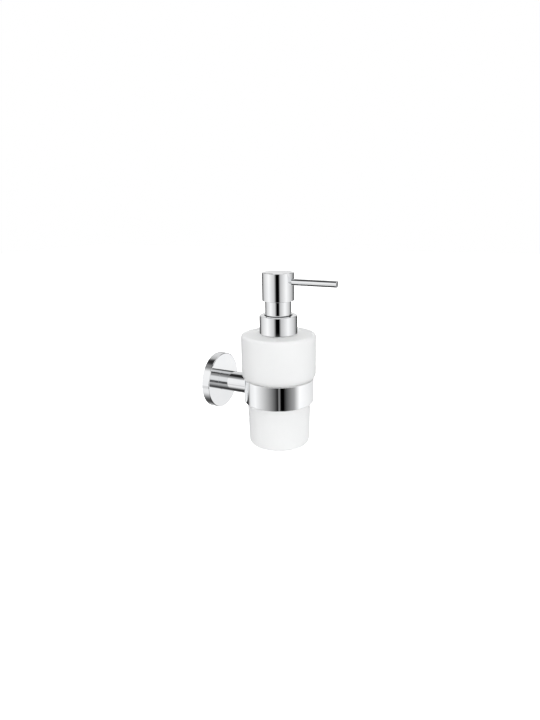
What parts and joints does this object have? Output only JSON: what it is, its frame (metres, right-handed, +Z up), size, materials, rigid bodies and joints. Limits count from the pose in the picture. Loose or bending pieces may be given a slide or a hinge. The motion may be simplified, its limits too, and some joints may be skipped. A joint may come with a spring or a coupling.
{
  "type": "wall mounted soap dispenser",
  "caption": "Wall mounted soap dispenser: chrome rosette, arm and ring carry a frosted glass bottle with a sprung lotion pump and a straight spout.",
  "frame": {"origin": "centre of the mounting face on the wall, level with the arm's axis", "axes": "+Z up, -Y out of the wall along the arm and the spout, +Y into the wall, X along the wall"},
  "size_m": [0.07, 0.1265, 0.1635],
  "materials": {
    "chrome": "polished chrome plate on brass",
    "zinc_steel": "zinc plated steel, satin",
    "spring_steel": "bright stainless steel",
    "frosted_glass": "acid-etched frosted glass",
    "white_plastic": "natural white moulded plastic",
    "clear_plastic": "translucent moulded plastic",
    "rubber": "black rubber washer"
  },
  "bodies": {
    "holder": {"wall_bracket": "zinc_steel", "rosette": "chrome", "rosette_grub_screw": "zinc_steel", "arm_washer": "zinc_steel", "arm_bolt": "zinc_steel", "arm_post": "chrome", "holder_ring": "chrome", "ring_screw": "zinc_steel"},
    "liner": {"ring_liner": "white_plastic"},
    "bottle": {"glass_bottle": "frosted_glass"},
    "pump": {"pump_housing": "clear_plastic", "housing_cap": "white_plastic", "neck_gasket": "rubber", "dip_tube": "clear_plastic", "return_spring": "spring_steel"},
    "collar": {"collar_shell": "chrome", "threaded_closure": "white_plastic", "guide_sleeve": "chrome"},
    "plunger": {"stem": "white_plastic", "piston": "white_plastic"},
    "inlet_check": {"inlet_ball": "spring_steel"},
    "outlet_check": {"outlet_ball": "spring_steel"},
    "head": {"pump_head": "chrome", "head_insert": "white_plastic", "spout_tube": "chrome"}
  },
  "joints": [
    {"name": "bottle_turn", "type": "hinge", "parent": "holder", "child": "liner", "pos_m": [0, -0.07, 0], "axis": [0, 0, 1], "continuous": true},
    {"name": "bottle_lift", "type": "slide", "parent": "liner", "child": "bottle", "axis": [0, 0, 1], "range_m": [0, 0.07]},
    {"name": "pump_rise", "type": "slide", "parent": "bottle", "child": "pump", "axis": [0, 0, 1], "range_m": [0, 0.006]},
    {"name": "collar_turn", "type": "hinge", "parent": "pump", "child": "collar", "pos_m": [0, -0.07, 0], "axis": [0, 0, 1], "range_deg": [0, 540]},
    {"name": "head_press", "type": "slide", "parent": "pump", "child": "plunger", "axis": [0, 0, -1], "range_m": [0, 0.011], "stiffness_N_per_m": 600, "springref_m": -0.008, "deforming": ["return_spring"]},
    {"name": "head_swivel", "type": "hinge", "parent": "plunger", "child": "head", "pos_m": [0, -0.07, 0], "axis": [0, 0, 1], "continuous": true},
    {"name": "inlet_valve", "type": "slide", "parent": "pump", "child": "inlet_check", "axis": [0, 0, 1], "range_m": [0, 0.0012]},
    {"name": "outlet_valve", "type": "slide", "parent": "plunger", "child": "outlet_check", "axis": [0, 0, 1], "range_m": [0, 0.0015]}
  ],
  "couplings": [
    {"joint": "collar_turn", "follows": "pump_rise", "rad_per_m": 1570.8}
  ]
}
